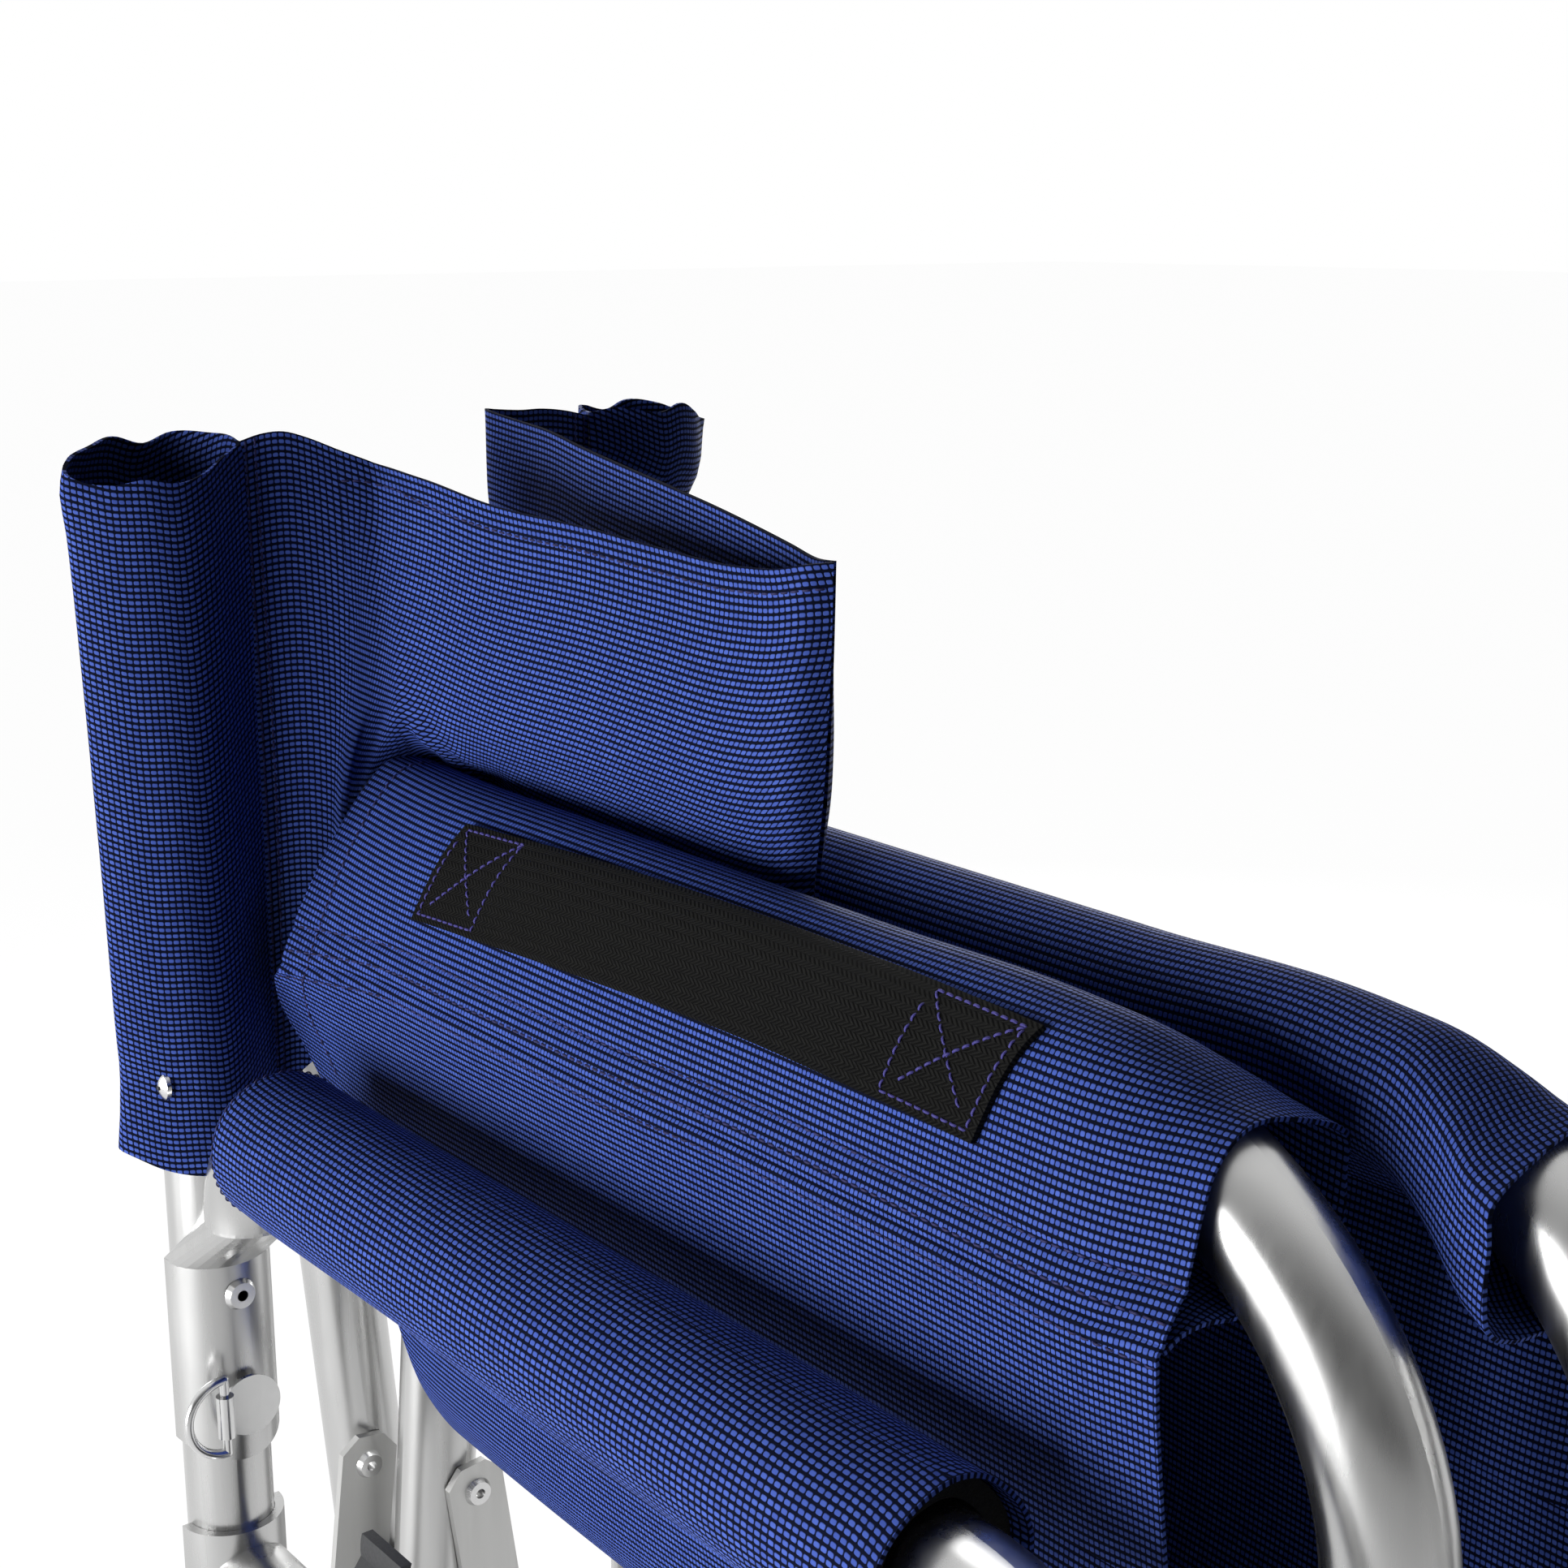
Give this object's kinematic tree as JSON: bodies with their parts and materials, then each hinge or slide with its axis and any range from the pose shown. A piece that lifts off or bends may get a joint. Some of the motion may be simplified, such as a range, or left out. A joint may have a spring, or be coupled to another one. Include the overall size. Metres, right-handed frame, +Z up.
{
  "type": "folding armchair",
  "caption": "Folding aluminium tube armchair with slung fabric seat and back, padded arms, carry handles and crossed hoop legs, stored folded.",
  "frame": {"origin": "on the floor, at the middle of the folded chair's box", "axes": "+Z up, -Y towards the chair's front, +X to the right in a view from the front"},
  "size_m": [0.2258, 0.565, 0.7766],
  "materials": {
    "tube": "satin anodised",
    "bar": "brushed",
    "steel": "nickel plated",
    "grey_plastic": "moulded",
    "cloth": "coarse woven",
    "webbing": "ribbed webbing",
    "foam": "closed-cell foam"
  },
  "bodies": {
    "left_frame": {"left_back_post": "tube", "left_arm_tube": "tube", "left_side_rail": "tube", "left_lower_rail": "tube", "left_rail_cradles": "grey_plastic", "left_rail_spacers": "grey_plastic", "left_post_feet": "grey_plastic", "left_post_cap": "grey_plastic", "left_rail_plugs": "grey_plastic", "left_frame_rivets": "steel", "left_link_bracket": "steel", "left_arm_foam": "foam", "left_arm_cover": "cloth", "left_back_screw": "steel", "left_back_sleeve": "cloth", "ring_clip": "steel"},
    "right_frame": {"right_back_post": "tube", "right_arm_tube": "tube", "right_side_rail": "tube", "right_lower_rail": "tube", "right_rail_cradles": "grey_plastic", "right_rail_spacers": "grey_plastic", "right_post_feet": "grey_plastic", "right_post_cap": "grey_plastic", "right_rail_plugs": "grey_plastic", "right_frame_rivets": "steel", "right_link_bracket": "steel", "right_arm_foam": "foam", "right_arm_cover": "cloth", "right_back_screw": "steel", "right_back_sleeve": "cloth"},
    "right_hoop": {"right_hoop": "tube", "right_knuckles": "grey_plastic", "right_leg_plugs": "grey_plastic", "cross_bolts": "steel", "cross_spacers": "grey_plastic"},
    "left_hoop": {"left_hoop": "tube", "left_knuckles": "grey_plastic", "left_leg_plugs": "grey_plastic", "cross_nuts": "steel"},
    "left_link": {"left_link_bar": "bar", "left_link_rivet": "steel"},
    "left_sleeve": {"left_seat_sleeve": "cloth", "left_handle": "webbing"},
    "left_wall": {"left_seat_wall": "cloth"},
    "left_base": {"left_seat_base": "cloth"},
    "left_turn": {"left_back_turn": "cloth"},
    "left_panel": {"left_back_panel": "cloth"},
    "right_link": {"right_link_bar": "bar", "right_link_rivet": "steel"},
    "right_sleeve": {"right_seat_sleeve": "cloth", "right_handle": "webbing"},
    "right_wall": {"right_seat_wall": "cloth"},
    "right_base": {"right_seat_base": "cloth"},
    "right_turn": {"right_back_turn": "cloth"},
    "right_panel": {"right_back_panel": "cloth"},
    "carry_ring": {"carry_ring": "steel"}
  },
  "joints": [
    {"name": "fold", "type": "hinge", "parent": "left_frame", "child": "right_hoop", "pos_m": [-0.05121, 0, 0.09015], "axis": [0, 1, 0], "range_deg": [0, 44.24]},
    {"name": "crossing", "type": "hinge", "parent": "right_hoop", "child": "left_hoop", "pos_m": [0, 0, 0.36179], "axis": [0, 1, 0], "range_deg": [-89.12, 0]},
    {"name": "right_rail_hinge", "type": "hinge", "parent": "left_hoop", "child": "right_frame", "pos_m": [0.05121, 0, 0.09015], "axis": [0, 1, 0], "range_deg": [0, 44.66]},
    {"name": "left_link_pin", "type": "hinge", "parent": "left_frame", "child": "left_link", "pos_m": [-0.033, 0.1935, 0.23129], "axis": [0, 1, 0], "range_deg": [0, 69.48]},
    {"name": "left_sleeve_turn", "type": "hinge", "parent": "left_hoop", "child": "left_sleeve", "pos_m": [-0.0242, 0.1935, 0.66589], "axis": [0, 1, 0], "range_deg": [-62.24, 0], "deforming": ["left_seat_sleeve"]},
    {"name": "left_seam_fold", "type": "hinge", "parent": "left_sleeve", "child": "left_wall", "pos_m": [-0.051, 0.1935, 0.62589], "axis": [0, 1, 0], "range_deg": [0, 34.36]},
    {"name": "left_seat_fold", "type": "hinge", "parent": "left_wall", "child": "left_base", "pos_m": [-0.044, 0.1935, 0.51889], "axis": [0, 1, 0], "range_deg": [0, 19.9], "deforming": ["left_seat_base"]},
    {"name": "left_back_fold", "type": "hinge", "parent": "left_frame", "child": "left_turn", "pos_m": [-0.061, 0.1855, 0.68], "axis": [0, 0, 1], "range_deg": [0, 22.11]},
    {"name": "left_panel_fold", "type": "hinge", "parent": "left_turn", "child": "left_panel", "pos_m": [-0.026, 0.1715, 0.68], "axis": [0, 0, 1], "range_deg": [0, 61.74], "deforming": ["left_back_panel"]},
    {"name": "right_link_pin", "type": "hinge", "parent": "right_frame", "child": "right_link", "pos_m": [0.033, 0.1935, 0.23129], "axis": [0, 1, 0], "range_deg": [-69.48, 0]},
    {"name": "right_sleeve_turn", "type": "hinge", "parent": "right_hoop", "child": "right_sleeve", "pos_m": [0.0242, 0.1935, 0.66589], "axis": [0, 1, 0], "range_deg": [0, 62.24], "deforming": ["right_seat_sleeve"]},
    {"name": "right_seam_fold", "type": "hinge", "parent": "right_sleeve", "child": "right_wall", "pos_m": [0.051, 0.1935, 0.62589], "axis": [0, 1, 0], "range_deg": [-34.36, 0]},
    {"name": "right_seat_fold", "type": "hinge", "parent": "right_wall", "child": "right_base", "pos_m": [0.044, 0.1935, 0.51889], "axis": [0, 1, 0], "range_deg": [-19.9, 0], "deforming": ["right_seat_base"]},
    {"name": "right_back_fold", "type": "hinge", "parent": "right_frame", "child": "right_turn", "pos_m": [0.061, 0.1855, 0.68], "axis": [0, 0, 1], "range_deg": [-22.11, 0]},
    {"name": "right_panel_fold", "type": "hinge", "parent": "right_turn", "child": "right_panel", "pos_m": [0.026, 0.1715, 0.68], "axis": [0, 0, 1], "range_deg": [-61.74, 0], "deforming": ["right_back_panel"]},
    {"name": "ring_swing", "type": "hinge", "parent": "left_frame", "child": "carry_ring", "pos_m": [-0.0925, 0.1713, 0.47959], "axis": [0, 0, 1], "range_deg": [-40, 100]}
  ],
  "couplings": [
    {"joint": "crossing", "follows": "fold", "ratio": -2},
    {"joint": "right_rail_hinge", "follows": "fold", "ratio": 1},
    {"joint": "left_link_pin", "follows": "fold", "ratio": 1.5581},
    {"joint": "left_sleeve_turn", "follows": "fold", "ratio": -1.3953},
    {"joint": "left_seam_fold", "follows": "fold", "ratio": 0.7684},
    {"joint": "left_seat_fold", "follows": "fold", "ratio": 0.44315},
    {"joint": "left_back_fold", "follows": "fold", "ratio": 0.49278},
    {"joint": "left_panel_fold", "follows": "fold", "ratio": 1.384},
    {"joint": "right_link_pin", "follows": "fold", "ratio": -1.5581},
    {"joint": "right_sleeve_turn", "follows": "fold", "ratio": 1.3953},
    {"joint": "right_seam_fold", "follows": "fold", "ratio": -0.7684},
    {"joint": "right_seat_fold", "follows": "fold", "ratio": -0.44315},
    {"joint": "right_back_fold", "follows": "fold", "ratio": -0.49278},
    {"joint": "right_panel_fold", "follows": "fold", "ratio": -1.384}
  ]
}
